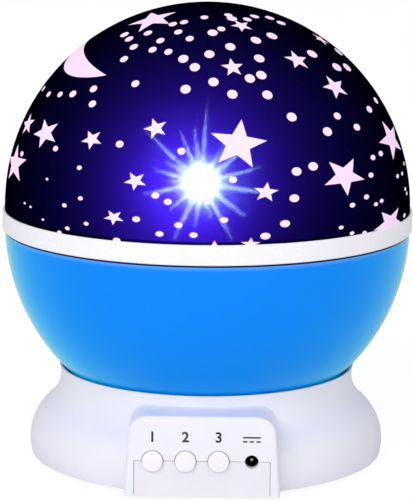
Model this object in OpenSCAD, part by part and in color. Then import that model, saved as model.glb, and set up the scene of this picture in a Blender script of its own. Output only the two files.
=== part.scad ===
// Star night light projector: a printed dome on a round bowl that a small motor turns in a flared base.
// Millimetres. +Z is up, the front panel faces -Y, and the origin is on the globe's axis at table level.

/* [Globe] */
// Outer radius of the bowl and of the dome
globe_r = 60.6; // [56:0.1:66]
// Height of the bowl's centre above the table
bowl_z = 70.5; // [69:0.1:74]
// Wall of the bowl
bowl_wall = 2.0; // [1.6:0.1:2.4]
// Wall of the dome
dome_wall = 1.8; // [1.4:0.1:2.2]
// Height of the collar's outside
collar_h = 5.8; // [5:0.1:7.5]
// How far the collar stands out past the globe
collar_proud = 0.7; // [0.5:0.1:1.2]
// Open joint between the bowl's rim and the collar
rim_gap = 0.3; // [0.2:0.05:0.5]
// How far the bowl's rim lies below its centre
rim_drop = 1.3; // [0.8:0.1:2]
// Height of the spigot above the bowl's rim
spigot_h = 4.6; // [3.5:0.1:5]
// Straight height of the dome above the collar
dome_rise = 0.7; // [0.3:0.1:1.2]

/* [Base] */
// Height of the rubber feet under the base
foot_h = 1.3; // [1:0.1:2]
// Largest radius of the base
skirt_r = 53.4; // [52.5:0.1:55]
// Height of that largest radius
skirt_z = 5.0; // [4.5:0.1:5.5]
// Radius of the rounded shoulder above it
shoulder_r = 15; // [14:0.5:16]
// Smallest radius of the neck
neck_r = 44.0; // [43.6:0.1:44.6]
// Height of the smallest radius
neck_z = 25.0; // [24.5:0.1:25.6]
// Height of the neck's rim
rim_z = 28.0; // [27.5:0.1:28.4]
// Wall of the base shell
base_wall = 2.2; // [1.9:0.1:2.4]
// Gap between the bowl and the neck
seat_gap = 0.45; // [0.35:0.05:0.6]
// Thickness of the base's floor
floor_t = 2.4; // [2.2:0.1:2.6]

/* [Control panel] */
// How far the panel's face lies in front of the base's largest radius
panel_proud = 1.6; // [0.8:0.1:3]
// Width of the panel at its foot
panel_w = 44.6; // [43:0.1:46]
// Width of the panel at its top
panel_top_w = 42.2; // [41:0.1:43]
// Height of the panel's top above the table
panel_top = 24.8; // [24.4:0.1:25.2]
// Corner radius of the panel
panel_corner = 5.6; // [4.5:0.1:6.5]
// Round along the panel's front edge
panel_round = 1.1; // [0.6:0.1:1.5]
// Wall of the panel
panel_wall = 2.0; // [1.8:0.1:2.2]
// Width of the lower plate that comes with the floor
plate_w = 38.6; // [37:0.1:39.5]
// Seam round that plate
seam = 0.14; // [0.1:0.02:0.2]
// Height of the buttons and the power inlet
controls_z = 11.8; // [11.6:0.1:12.2]
// Distance from button to button, and on to the inlet
controls_pitch = 9.4; // [9.2:0.1:9.6]
// Radius of a button
button_r = 3.0; // [2.8:0.1:3.2]
// How far a button stands out
button_proud = 1.3; // [1:0.1:1.6]
// Gap round a button
button_gap = 0.15; // [0.1:0.05:0.2]
// How far a button can be pressed
button_travel = 0.8; // [0.5:0.1:1]
// Radius of the power inlet's bore
inlet_r = 1.8; // [1.7:0.05:1.9]
// Radius of the power inlet's pin
inlet_pin_r = 0.65; // [0.6:0.05:0.7]

/* [Turning gear] */
// Tooth size of the reduction gears
gear_mod = 0.5; // [0.5:0.01:0.52]
// Tooth size of the turntable gear
table_mod = 0.6; // [0.59:0.01:0.61]
// Play between teeth in mesh
backlash = 0.14; // [0.12:0.02:0.18]
// Width of a gear
gear_t = 1.45; // [1.3:0.05:1.5]
// Gap between one level of gears and the next
level_gap = 0.2; // [0.15:0.05:0.3]
// Radius of the gears' steel pins
pin_r = 0.75; // [0.65:0.05:0.8]
// Running clearance of gears and bushes
running = 0.05; // [0.04:0.01:0.08]
// Direction of the third gear from the axis
train_turn = 78; // [74:1:80]
// Thickness of the mechanism plate
mech_t = 1.8; // [1.6:0.1:1.9]
// Distance of the motor from the axis
motor_orbit = 37.4; // [37.2:0.1:37.6]

/* [Centre post] */
// Radius of the post
post_r = 5; // [4.8:0.1:5.4]
// Radius of the wire passage in the post
post_bore = 3; // [2.6:0.1:3.2]
// Height of the lamp board above the table
lamp_z = 77.2; // [76:0.1:78]
// Radius of the lamp board
lamp_board_r = 9.8; // [9.4:0.1:10.2]
// Radius of a lamp
led_r = 2.5; // [2.3:0.1:2.6]
// Distance of the lamps from the axis
led_orbit = 4.2; // [4.1:0.1:4.4]

/* [Power] */
// Radius of a battery cell
cell_r = 5.25; // [5.1:0.05:5.25]
// Length of a battery cell with its nub
cell_l = 44.5; // [44:0.1:45]
// Distance from cell to cell
cell_pitch = 10.9; // [10.7:0.1:11]
// Gap between the door and its recess
door_gap = 0.2; // [0.15:0.05:0.3]

/* [Hidden] */
$fn = 96;
eps = 0.01;

// Colours
plastic_white = "#f1f0f6";
plastic_blue = "#1486fb";
dome_navy = "#140a50";
steel = "#c3c6cb";

// Teeth of the reduction gears, of the last pinion and of the turntable gear
small_teeth = 10;
large_teeth = 40;
table_pinion_teeth = 14;
table_teeth = 84;

// Heights of the base, and the panel's face
shell_z = foot_h;
floor_top = shell_z + floor_t;
panel_y = skirt_r + panel_proud;

// Rounded profile of the base: a shoulder arc and a neck arc that meet in a tangent
profile_dr = skirt_r - neck_r;
profile_dz = neck_z - skirt_z;
profile_sum = (profile_dr * profile_dr + profile_dz * profile_dz) / (2 * profile_dr);
flare_r = profile_sum - shoulder_r;
profile_turn = atan2(profile_dz, profile_sum - profile_dr);

// Battery box: four cells side by side along Y, under the mechanism plate
box_wall = 1.4;
cells = 4;
spring_l = 4.3;
contact_t = 0.4;
box_x = cells / 2 * cell_pitch + 0.2;
box_l = cell_l + spring_l + 2 * contact_t + 0.4;
box_y = 8.5;
box_front = box_y - box_l / 2;
box_back = box_y + box_l / 2;
cell_z = floor_top + 0.65 + cell_r;
box_ceiling = cell_z + cell_r + 0.15;
box_top = box_ceiling + 1.0;
door_t = 1.2;
door_screw_y = [box_front - 3.7, box_back + 3.7];
door_x = box_x + 0.8;
door_ends = [door_screw_y[0] - 3.4, door_screw_y[1] + 3.2];

// Mechanism plate and the levels of the gears above it
mech_z = box_top + 0.2;
mech_top = mech_z + mech_t;
mech_r = neck_r - base_wall + 0.5;
function level(i) = mech_top + 0.3 + i * (gear_t + level_gap);
seat_ring_h = 0.25;
bowl_floor_z = level(3) + gear_t + seat_ring_h;
bowl_floor_t = 2;

// Gear centres: three gears in a row on one circle round the axis, then the motor
function pitch_r(teeth, mod) = teeth * mod / 2;
table_orbit = pitch_r(table_teeth, table_mod) + pitch_r(table_pinion_teeth, table_mod);
train_step = pitch_r(large_teeth, gear_mod) + pitch_r(small_teeth, gear_mod);
train_angle = 2 * asin(train_step / 2 / table_orbit);
motor_angle = acos((table_orbit * table_orbit + motor_orbit * motor_orbit - train_step * train_step)
    / (2 * table_orbit * motor_orbit));
function polar(r, a) = [r * cos(a), r * sin(a)];
third_turn = train_turn;
second_turn = third_turn - train_angle;
first_turn = second_turn - train_angle;
motor_turn = first_turn - motor_angle;
third_at = polar(table_orbit, third_turn);
second_at = polar(table_orbit, second_turn);
first_at = polar(table_orbit, first_turn);
motor_at = polar(motor_orbit, motor_turn);
gear_hub_r = pin_r + 0.85;
large_addendum = 0.6;
table_addendum = 0.8;

// Centre post
flange_r = 12;
flange_t = 1.6;
shoulder_h = 4.0;
post_boss_r = 8;
washer_z = mech_top + shoulder_h;
washer_t = 0.7;
bush_flange_t = 0.8;
bush_flange_r = 8;
bush_wall = 1.45;
hub_z = washer_z + washer_t + 0.05 + bush_flange_t;
hub_top = 48;
hub_r = post_r + running + bush_wall + 2.5;
bush_r = post_r + running + bush_wall;
lower_bush_l = 9;
upper_bush_l = 9;
clip_z = hub_top + bush_flange_t + 0.1;
clip_t = 0.8;
clip_groove_r = post_r - 0.7;
post_top = lamp_z - 3;

// Lamp board on top of the post
lamp_board_t = 1.2;
lamp_screw_orbit = lamp_board_r - 1.6;
lamp_screw_turns = [20, 200];
lamp_screw_r = 0.6;

// Rim, spigot, collar and dome
rim_top = bowl_z - rim_drop;
collar_z = rim_top + rim_gap;
collar_top = collar_z + collar_h;
dome_z = collar_top + dome_rise;
collar_r = globe_r + collar_proud;
skirt_in = globe_r - dome_wall + 0.1;
skirt_out = globe_r - 0.3;
ledge_t = 1.7;
spigot_r = skirt_in - 0.2;
spigot_wall = 1.8;
spigot_top = rim_top + spigot_h;
keys = 3;
key_w = 4;
key_reach = spigot_wall + 0.2;

// Deck inside the globe, on three bosses
deck_bosses = 3;
deck_t = 1.6;
deck_z = spigot_top - 3;
deck_r = spigot_r - spigot_wall - 0.3;
deck_boss_r = 3;
deck_boss_h = 13;
deck_boss_orbit = deck_r - 2.4;
deck_hole_r = 9;
deck_rise = 0.8;

// Screws
m2_shank = 0.8;
m2_hole = 0.85;
m2_head = 1.9;
m2_head_h = 1.2;
m3_shank = 1.15;
m3_hole = 1.2;
m3_head = 2.4;
base_screw_orbit = skirt_r - base_wall - 4.7;
base_screw_turns = [40, 140, 220, 320];
lug_orbit = mech_r - 1.7;
lug_turns = [132, 215, 330];
post_screw_orbit = 10.1;
post_screw_turns = [150, 210, 30];
gear_screw_orbit = 14.5;

// Control board and what stands on it
board_t = 1.6;
board_z = controls_z - 3.4 - board_t;
board_top = board_z + board_t;
board_x = plate_w / 2 - 1;
board_front = -(panel_y - panel_wall - 1.05 - button_travel - 0.25);
board_back = box_front - 11.5;
button_x = [for (i = [0:2]) (i - 1.5) * controls_pitch];
inlet_x = 1.5 * controls_pitch;
wall_in = -(panel_y - panel_wall);
flange_back = wall_in + 1.05;
switch_front = flange_back + 2.35;
switch_d = 3.6;
switch_w = 6.2;
switch_back = switch_front + switch_d;
board_posts = [[2.8 - board_x, switch_back + 6], [board_x - 2.8, switch_back + 8], [0, board_back - 2.6]];
chip_at = [-7.5, switch_back + 1.4];
capacitor_at = [7.5, switch_back + 5.4];
plunger_r = 1.7;
plunger_front = switch_front - 0.95;
jack_w = 6.4;
jack_l = 9.6;
jack_front = wall_in + 0.1;

// Motor
motor_w = 12;
motor_d = 10;
motor_bottom = floor_top + 0.1;
end_cap_h = 2.2;
cradle_wall = 1.2;
cradle_h = 6;
shaft_r = 0.75;

// Feet
foot_r = 4.2;
foot_orbit = skirt_r - 7.6;
foot_inset = 0.6;
foot_room = 1;

// Wires: centre lines, chosen by hand
led_cable_r = 1.2;
led_cable_route = [[-4, -31, board_top + 0.1], [-4, -31, 10.8], [-3.6, -30, 12.8], [-2.4, -27.4, 14],
    [-0.8, -24.6, 15.4], [0, -22.8, 17.2], [0, -21, 19.2], [0, -18, 19.5], [0, -12, 19.5], [0, -6, 19.5],
    [0, -3, 19.6], [0, -1.2, 20.4], [0, -0.2, 22.2], [0, 0, 25], [0, 0, 45], [0, 0, 60], [0, 0, lamp_z - 0.1]];
lead_r = 0.6;
motor_lead_end = [13.5, -30];
motor_lead_route = [[38.4, -0.6, 5.2], [38, -3, 5.2], [36.4, -8, 5.2], [32.5, -16, 5], [28, -21.5, 5],
    [23, -24.4, 5.6], [19.4, -25.6, 7.4], [16.6, -26.6, 9.6], [14.6, -28.4, 10.6],
    [motor_lead_end[0], -29.7, 10], [motor_lead_end[0], motor_lead_end[1], 9.4],
    [motor_lead_end[0], motor_lead_end[1], board_top + 0.02]];

// ---------- helpers ----------

function arc(cx, cy, r, from, to, n) =
    [for (i = [0:n]) [cx + r * cos(from + (to - from) * i / n), cy + r * sin(from + (to - from) * i / n)]];

// The base's outline between two heights, moved inwards by inset
function base_outline(inset, low, high) = concat(
    arc(skirt_r - shoulder_r, skirt_z, shoulder_r - inset,
        asin((low - skirt_z) / (shoulder_r - inset)), profile_turn, 20),
    arc(neck_r + flare_r, neck_z, flare_r + inset,
        180 + profile_turn, 180 - asin((high - neck_z) / (flare_r + inset)), 20));

module base_solid(inset, low, high) {
    rotate_extrude($fn = 180)
        polygon(concat([[0, low]], base_outline(inset, low, high), [[0, high]]));
}

// The control panel's outline, seen from the front
function panel_outline(inset, low) = concat(
    [[panel_w / 2 - inset, low]],
    arc(panel_top_w / 2 - panel_corner, panel_top - panel_corner, panel_corner - inset, 0, 90, 10),
    arc(panel_corner - panel_top_w / 2, panel_top - panel_corner, panel_corner - inset, 90, 180, 10),
    [[inset - panel_w / 2, low]]);

// A shape drawn in x and z, pushed back along +Y from y
module push_back(y, depth) {
    translate([0, y + depth, 0])
        rotate([90, 0, 0])
            linear_extrude(depth)
                children();
}

module tube(r_out, r_in, h) {
    difference() {
        cylinder(r = r_out, h = h);
        translate([0, 0, -1])
            cylinder(r = r_in, h = h + 2);
    }
}

module at_turns(turns, orbit) {
    for (a = turns)
        rotate([0, 0, a])
            translate([orbit, 0, 0])
                children();
}

function spread(count, first = 0) = [for (i = [0:count - 1]) first + i * 360 / count];

// A pan-head screw with its head's seat at z 0 and its shank upwards
module screw(head_r, head_h, shank_r, length) {
    difference() {
        translate([0, 0, -head_h])
            cylinder(r = head_r, h = head_h, $fn = 32);
        for (a = [0, 90])
            rotate([0, 0, a])
                translate([-head_r * 0.62, -0.2, -head_h - 1])
                    cube([head_r * 1.24, 0.4, 1 + head_h * 0.5]);
    }
    translate([0, 0, -eps])
        cylinder(r = shank_r, h = length - shank_r, $fn = 32);
    translate([0, 0, length - shank_r - eps])
        cylinder(r1 = shank_r, r2 = 0.2, h = shank_r, $fn = 32);
}

// Involute gear outline with a tooth centred on angle 0
function involute(a) = tan(a) * 180 / PI - a;
function tooth_half(teeth, mod, r, base_r) =
    90 / teeth - backlash / 4 / pitch_r(teeth, mod) * 180 / PI + involute(20)
    - involute(acos(min(1, base_r / r)));
function gear_outline(teeth, mod, addendum) =
    let (
        mid_r = pitch_r(teeth, mod),
        base_r = mid_r * cos(20),
        root_r = mid_r - 1.3 * mod,
        tip_r = mid_r + addendum * mod,
        low_r = max(base_r, root_r),
        flank = [root_r, for (i = [0:4]) low_r + (tip_r - low_r) * i / 4])
    [for (t = [0:teeth - 1]) for (side = [-1, 1]) for (i = [0:5])
        let (r = side < 0 ? flank[i] : flank[5 - i],
            a = t * 360 / teeth + side * tooth_half(teeth, mod, max(r, low_r), base_r))
        [r * cos(a), r * sin(a)]];

module gear(teeth, mod, addendum, turn, z) {
    translate([0, 0, z])
        rotate([0, 0, turn])
            linear_extrude(gear_t)
                polygon(gear_outline(teeth, mod, addendum));
}

// A large gear on one level and a small one above it, on a hub that stands on the plate
module double_gear(large_level, large_turn, small_n, small_mod, small_turn) {
    difference() {
        union() {
            gear(large_teeth, gear_mod, large_addendum, large_turn, level(large_level));
            gear(small_n, small_mod, 1, small_turn, level(large_level + 1));
            translate([0, 0, mech_top + 0.15])
                cylinder(r = gear_hub_r, h = bowl_floor_z - mech_top - 0.35, $fn = 32);
        }
        translate([0, 0, mech_top - 1])
            cylinder(r = pin_r + running, h = 20, $fn = 32);
    }
}

// Direction from one gear's centre to another's
function toward(from, to) = atan2(to[1] - from[1], to[0] - from[0]);
function gap_turn(teeth, from, to) = toward(to, from) + 180 / teeth;

// A round tube along a list of points
function unit(v) = v / norm(v);
function route_dir(p, i) = unit(p[min(i + 1, len(p) - 1)] - p[max(i - 1, 0)]);
function ring_at(p, d, side, r, n) =
    let (u = unit(side - (side * d) * d), w = cross(d, u))
    [for (k = [0:n - 1]) p + r * (cos(360 * k / n) * u + sin(360 * k / n) * w)];
module sweep_tube(p, r, n, side) {
    last = len(p) - 1;
    points = [for (i = [0:last]) each ring_at(p[i], route_dir(p, i), side, r, n)];
    walls = [for (i = [0:last - 1]) for (k = [0:n - 1]) for (half = [0, 1])
        let (a = i * n + k, b = i * n + (k + 1) % n)
        half == 0 ? [a, a + n, b + n] : [a, b + n, b]];
    ends = [[for (k = [0:n - 1]) k], [for (k = [n - 1:-1:0]) last * n + k]];
    polyhedron(points, concat(walls, ends));
}

// ---------- base ----------

module control_holes() {
    for (x = button_x)
        translate([x, -panel_y - 1, controls_z])
            rotate([-90, 0, 0])
                cylinder(r = button_r + button_gap, h = panel_wall + 3, $fn = 48);
    translate([inlet_x, -panel_y - 1, controls_z])
        rotate([-90, 0, 0])
            cylinder(r = inlet_r + 0.15, h = panel_wall + 3, $fn = 48);
}

module panel_block() {
    hull()
        for (i = [0:4])
            let (inset = panel_round * (1 - sin(i * 22.5)), depth = panel_round * (1 - cos(i * 22.5)))
            push_back(-panel_y + depth, panel_y - neck_r + 4 - depth)
                polygon(panel_outline(inset, shell_z));
}

module shell_boss(orbit, r, low, high, wall_r) {
    translate([orbit, 0, low])
        cylinder(r = r, h = high - low, $fn = 48);
    translate([orbit, -r, low])
        cube([wall_r - orbit, 2 * r, high - low]);
}

module base_shell() {
    color(plastic_white)
    difference() {
        union() {
            difference() {
                union() {
                    base_solid(0, shell_z, rim_z);
                    panel_block();
                }
                base_solid(base_wall, shell_z - 1, rim_z + 0.5);
                push_back(wall_in, panel_y - panel_wall - neck_r + 4)
                    polygon(panel_outline(panel_wall, shell_z - 1));
                translate([0, 0, bowl_z])
                    sphere(r = globe_r + seat_gap);
            }
            at_turns(base_screw_turns, 0)
                shell_boss(base_screw_orbit, 3, floor_top, floor_top + 8.3, skirt_r - base_wall - 1.4);
            at_turns(lug_turns, 0)
                shell_boss(lug_orbit, 2.6, mech_top, mech_top + 4, neck_r - 0.2);
        }
        at_turns(base_screw_turns, base_screw_orbit)
            translate([0, 0, floor_top - 1])
                cylinder(r = m3_hole, h = 8.3, $fn = 32);
        at_turns(lug_turns, lug_orbit)
            translate([0, 0, mech_top - 1])
                cylinder(r = m2_hole, h = 4.4, $fn = 32);
        translate([-plate_w / 2 - seam, -panel_y - 1, shell_z - 1])
            cube([plate_w + 2 * seam, panel_wall + 1.1, controls_z + seam / 2 - shell_z + 1]);
        control_holes();
    }
}

module motor_place() {
    translate([motor_at[0], motor_at[1], 0])
        rotate([0, 0, motor_turn])
            children();
}

module base_floor() {
    floor_w = panel_w - 2 * panel_wall - 0.6;
    color(plastic_white)
    difference() {
        union() {
            translate([0, 0, shell_z])
                cylinder(r = skirt_r - base_wall - 0.85, h = floor_t, $fn = 180);
            translate([-floor_w / 2, wall_in + 0.1, shell_z])
                cube([floor_w, -wall_in - 40, floor_t]);
            translate([-plate_w / 2, -panel_y, shell_z])
                cube([plate_w, panel_wall, controls_z - seam / 2 - shell_z]);
            translate([-plate_w / 2, wall_in - eps, shell_z])
                cube([plate_w, 1, floor_t]);
            // Battery box
            translate([-box_x - box_wall, box_front - box_wall, shell_z])
                cube([2 * (box_x + box_wall), box_l + 2 * box_wall, box_top - shell_z]);
            // Bosses for the door's screws
            for (y = door_screw_y)
                translate([0, y, shell_z])
                    cylinder(r = 2.9, h = 8, $fn = 48);
            // Posts under the control board
            for (p = board_posts)
                translate([p[0], p[1], shell_z])
                    cylinder(r = 2, h = board_z - shell_z, $fn = 32);
            // Cradle of the motor, open towards the board
            motor_place()
                translate([-motor_d / 2 - 0.15 - cradle_wall, -motor_w / 2 - 0.15 - cradle_wall, shell_z])
                    cube([motor_d + 0.3 + 2 * cradle_wall, motor_w + 0.3 + 2 * cradle_wall, floor_t + cradle_h]);
        }
        control_holes();
        // Inside of the battery box, and the recess of its door
        translate([-box_x, box_front, shell_z - 1])
            cube([2 * box_x, box_l, box_ceiling - shell_z + 1]);
        translate([-door_x - door_gap, door_ends[0] - door_gap, shell_z - 1])
            cube([2 * (door_x + door_gap), door_ends[1] - door_ends[0] + 2 * door_gap, door_t + 1]);
        for (y = door_screw_y)
            translate([0, y, shell_z - 1])
                cylinder(r = m3_hole, h = 8, $fn = 32);
        for (p = board_posts)
            translate([p[0], p[1], floor_top])
                cylinder(r = m2_hole, h = 10, $fn = 32);
        // Wire holes through the box's front wall
        for (x = [-1.5, 1.5] * cell_pitch)
            translate([x, box_front - box_wall - 1, cell_z + 3])
                rotate([-90, 0, 0])
                    cylinder(r = 1, h = box_wall + 2, $fn = 32);
        motor_place() {
            translate([-motor_d / 2 - 0.15, -motor_w / 2 - 0.15, floor_top + 0.1])
                cube([motor_d + 0.3, motor_w + 0.3, 20]);
            translate([-motor_d / 2 + 1.5, -motor_w, floor_top + 1])
                cube([motor_d - 3, motor_w, 20]);
        }
        at_turns(base_screw_turns, base_screw_orbit)
            translate([0, 0, shell_z - 1]) {
                cylinder(r = m3_hole + 0.25, h = floor_t + 2, $fn = 32);
                cylinder(r = m3_head + 0.3, h = 2.2, $fn = 32);
            }
        at_turns(spread(4), foot_orbit)
            translate([0, 0, shell_z - 1])
                cylinder(r = foot_r + 0.1, h = 1 + foot_inset, $fn = 48);
    }
}

module rubber_feet() {
    color("#5c5f66")
    at_turns(spread(4), foot_orbit)
        rotate_extrude($fn = 48)
            polygon(concat([[0, 0]], arc(foot_r - 0.5, 0.5, 0.5, -90, 0, 5),
                [[foot_r, foot_h + foot_inset], [0, foot_h + foot_inset]]));
}

module base_screws() {
    color(steel)
    at_turns(base_screw_turns, base_screw_orbit)
        translate([0, 0, shell_z + 1.2])
            screw(m3_head, 1.1, m3_shank, 8);
}

module mechanism_plate() {
    color("#e4e5ea")
    difference() {
        translate([0, 0, mech_z])
            cylinder(r = mech_r, h = mech_t, $fn = 180);
        // Front cut-out over the control board
        translate([-22, -60, mech_z - 1])
            cube([44, 60 - 34, mech_t + 2]);
        at_turns(lug_turns, lug_orbit)
            translate([0, 0, mech_z - 1])
                cylinder(r = m2_hole + 0.25, h = mech_t + 2, $fn = 32);
        at_turns(post_screw_turns, post_screw_orbit)
            translate([0, 0, mech_z - 1])
                cylinder(r = m2_hole, h = mech_t + 2, $fn = 32);
        for (p = [first_at, second_at, third_at])
            translate([p[0], p[1], mech_z - 1])
                cylinder(r = pin_r, h = mech_t + 2, $fn = 32);
        translate([motor_at[0], motor_at[1], mech_z - 1])
            cylinder(r = 2.6, h = mech_t + 2, $fn = 48);
        translate([0, -23, mech_z - 1])
            cylinder(r = 3.2, h = mech_t + 2, $fn = 48);
    }
}

module plate_screws() {
    color(steel)
    at_turns(lug_turns, lug_orbit)
        translate([0, 0, mech_z])
            screw(m2_head, m2_head_h, m2_shank, mech_t + 3);
}

module gear_pins() {
    color(steel)
    for (p = [first_at, second_at, third_at])
        translate([p[0], p[1], mech_z])
            cylinder(r = pin_r, h = bowl_floor_z - mech_z - 0.3, $fn = 32);
}

module centre_post() {
    color("#d9dbe2")
    difference() {
        union() {
            translate([0, 0, mech_top])
                cylinder(r = flange_r, h = flange_t);
            translate([0, 0, mech_top])
                cylinder(r = post_boss_r, h = shoulder_h);
            translate([0, 0, mech_top])
                cylinder(r = post_r, h = post_top - mech_top);
        }
        translate([0, 0, mech_top - 1])
            cylinder(r = post_bore, h = post_top, $fn = 48);
        translate([-1.6, -flange_r - 1, mech_top - 1])
            cube([3.2, flange_r + 1, 3.9]);
        at_turns(post_screw_turns, post_screw_orbit)
            translate([0, 0, mech_top - 1])
                cylinder(r = m2_hole + 0.2, h = 4, $fn = 32);
        translate([0, 0, clip_z])
            tube(post_r + 1, clip_groove_r, clip_t + 0.1);
    }
}

module post_screws() {
    color(steel)
    at_turns(post_screw_turns, post_screw_orbit)
        translate([0, 0, mech_top + flange_t])
            rotate([180, 0, 0])
                screw(m2_head, m2_head_h, m2_shank, flange_t + mech_t - 0.1);
}

module thrust_washer() {
    color(steel)
    translate([0, 0, washer_z])
        tube(post_boss_r, post_r + running, washer_t);
}

module retaining_clip() {
    color("#8f949c")
    translate([0, 0, clip_z + 0.05])
        difference() {
            tube(post_r + 2.6, clip_groove_r + running, clip_t);
            translate([-clip_groove_r * 0.8, 0, -1])
                cube([clip_groove_r * 1.6, 20, clip_t + 2]);
        }
}

// ---------- motor and gears ----------

module motor_can() {
    color(steel)
    difference() {
        motor_place() {
            translate([0, 0, motor_bottom + end_cap_h])
                intersection() {
                    cylinder(r = motor_w / 2, h = mech_z - motor_bottom - end_cap_h, $fn = 64);
                    translate([-motor_d / 2, -motor_w, 0])
                        cube([motor_d, 2 * motor_w, 40]);
                }
            translate([0, 0, mech_z - eps])
                cylinder(r = 2.2, h = 1, $fn = 48);
        }
        translate([motor_at[0], motor_at[1], mech_z - 6])
            cylinder(r = shaft_r + running, h = 10, $fn = 32);
    }
}

module motor_end_cap() {
    color("#3c4048")
    motor_place()
        translate([0, 0, motor_bottom])
            intersection() {
                cylinder(r = motor_w / 2 - 0.2, h = end_cap_h, $fn = 64);
                translate([-motor_d / 2 + 0.2, -motor_w, 0])
                    cube([motor_d - 0.4, 2 * motor_w, 40]);
            }
}

module motor_shaft() {
    color("#9aa0a8")
    translate([motor_at[0], motor_at[1], mech_z - 5.9])
        cylinder(r = shaft_r, h = level(0) + gear_t + 0.1 - mech_z + 5.9, $fn = 32);
}

module motor_pinion() {
    color("#d8b25a")
    translate([motor_at[0], motor_at[1], 0])
        difference() {
            gear(small_teeth, gear_mod, 1, toward(motor_at, first_at), level(0));
            cylinder(r = shaft_r, h = 40, $fn = 32);
        }
}

module first_gear() {
    color("#f4f1e4")
    translate([first_at[0], first_at[1], 0])
        double_gear(0, gap_turn(large_teeth, motor_at, first_at),
            small_teeth, gear_mod, toward(first_at, second_at));
}

module second_gear() {
    color("#f4f1e4")
    translate([second_at[0], second_at[1], 0])
        double_gear(1, gap_turn(large_teeth, first_at, second_at),
            small_teeth, gear_mod, toward(second_at, third_at));
}

module third_gear() {
    color("#f4f1e4")
    translate([third_at[0], third_at[1], 0])
        double_gear(2, gap_turn(large_teeth, second_at, third_at),
            table_pinion_teeth, table_mod, toward(third_at, [0, 0]));
}

module turntable_gear() {
    color("#f0eee2")
    difference() {
        union() {
            gear(table_teeth, table_mod, table_addendum, gap_turn(table_teeth, third_at, [0, 0]), level(3));
            translate([0, 0, level(3) + gear_t - eps])
                cylinder(r = gear_screw_orbit + 3, h = seat_ring_h + eps);
        }
        translate([0, 0, level(3) - 1])
            cylinder(r = hub_r + 0.1, h = 4);
        at_turns(spread(3), gear_screw_orbit)
            translate([0, 0, level(3) - 1])
                cylinder(r = m2_hole + 0.2, h = 4, $fn = 32);
    }
}

module gear_screws() {
    color(steel)
    at_turns(spread(3), gear_screw_orbit)
        translate([0, 0, level(3)])
            screw(m2_head, m2_head_h, m2_shank, 7);
}

// ---------- controls ----------

module control_board() {
    color("#2f8f57")
    difference() {
        translate([-board_x, board_front, board_z])
            cube([2 * board_x, board_back - board_front, board_t]);
        for (p = board_posts)
            translate([p[0], p[1], board_z - 1])
                cylinder(r = m2_hole + 0.2, h = 4, $fn = 32);
    }
}

module board_screws() {
    color(steel)
    for (p = board_posts)
        translate([p[0], p[1], board_top])
            rotate([180, 0, 0])
                screw(1.7, 1, m2_shank, board_t + 2.4);
}

module driver_chip() {
    color("#23252a")
    translate([chip_at[0], chip_at[1], board_top]) {
        translate([0, 1, 0])
            cube([5, 4, 1.5]);
        for (x = [0.6:1.27:4.5])
            translate([x - 0.2, 0, 0])
                cube([0.4, 6, 0.4]);
    }
}

module filter_capacitor() {
    color("#2b3550")
    translate([capacitor_at[0], capacitor_at[1], board_top]) {
        cylinder(r = 2.5, h = 5.4, $fn = 48);
        translate([-2.7, -2.7, 0])
            cube([5.4, 5.4, 0.5]);
    }
}

module switch_bodies() {
    color("#3a3d44")
    for (x = button_x)
        difference() {
            translate([x - switch_w / 2, switch_front, board_top])
                cube([switch_w, switch_d, 2 * (controls_z - board_top)]);
            translate([x, switch_front - 1, controls_z])
                rotate([-90, 0, 0])
                    cylinder(r = plunger_r + 0.1, h = 3, $fn = 32);
        }
}

module button(i) {
    color("#f6eef8")
    translate([button_x[i], -panel_y, controls_z])
        rotate([-90, 0, 0])
            rotate_extrude($fn = 64)
                polygon(concat(
                    [[0, -button_proud]],
                    arc(button_r - 0.45, -button_proud + 0.6, 0.45, -90, 0, 6),
                    [[button_r, panel_wall + 0.15], [button_r + 0.9, panel_wall + 0.15],
                    [button_r + 0.9, panel_y + flange_back], [1.5, panel_y + flange_back],
                    [1.5, panel_y + plunger_front], [0, panel_y + plunger_front]]));
}

module plunger(i) {
    color("#22242a")
    translate([button_x[i], plunger_front, controls_z])
        rotate([-90, 0, 0])
            cylinder(r = plunger_r, h = 1.3, $fn = 32);
}

module dc_jack_body() {
    color("#17181c")
    difference() {
        translate([inlet_x - jack_w / 2, jack_front, board_top])
            cube([jack_w, jack_l, 2 * (controls_z - board_top)]);
        translate([inlet_x, jack_front - 1, controls_z])
            rotate([-90, 0, 0])
                cylinder(r = inlet_r, h = jack_l, $fn = 48);
    }
}

module dc_jack_pin() {
    color("#d3b56b")
    translate([inlet_x, jack_front + jack_l - 1, controls_z])
        rotate([90, 0, 0]) {
            cylinder(r = inlet_pin_r, h = jack_l - 1.7, $fn = 32);
            translate([0, 0, jack_l - 1.7])
                cylinder(r1 = inlet_pin_r, r2 = inlet_pin_r * 0.6, h = 0.3, $fn = 32);
        }
}

// ---------- power ----------

function cell_x(i) = (i - (cells - 1) / 2) * cell_pitch;

module battery_cells() {
    nub_l = 1.2;
    color("#8c6a2f")
    for (i = [0:cells - 1])
        translate([cell_x(i), (i % 2 == 0 ? box_front + contact_t : box_back - contact_t), cell_z])
            rotate([i % 2 == 0 ? -90 : 90, 0, 0]) {
                cylinder(r = 1.9, h = nub_l + 1, $fn = 48);
                translate([0, 0, nub_l])
                    cylinder(r = cell_r, h = cell_l - nub_l, $fn = 64);
            }
}

module contact_plate(i, width, at_front) {
    translate([cell_x(i) - cell_r + 1, at_front ? box_front + eps : box_back - contact_t + eps, cell_z - 4])
        cube([width, contact_t - 2 * eps, 8]);
}

module contact_plates() {
    single = 2 * cell_r - 2;
    color("#c9cdd2") {
        contact_plate(0, single, true);
        contact_plate(1, single + cell_pitch, true);
        contact_plate(3, single, true);
        contact_plate(0, single + cell_pitch, false);
        contact_plate(2, single + cell_pitch, false);
    }
}

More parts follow.
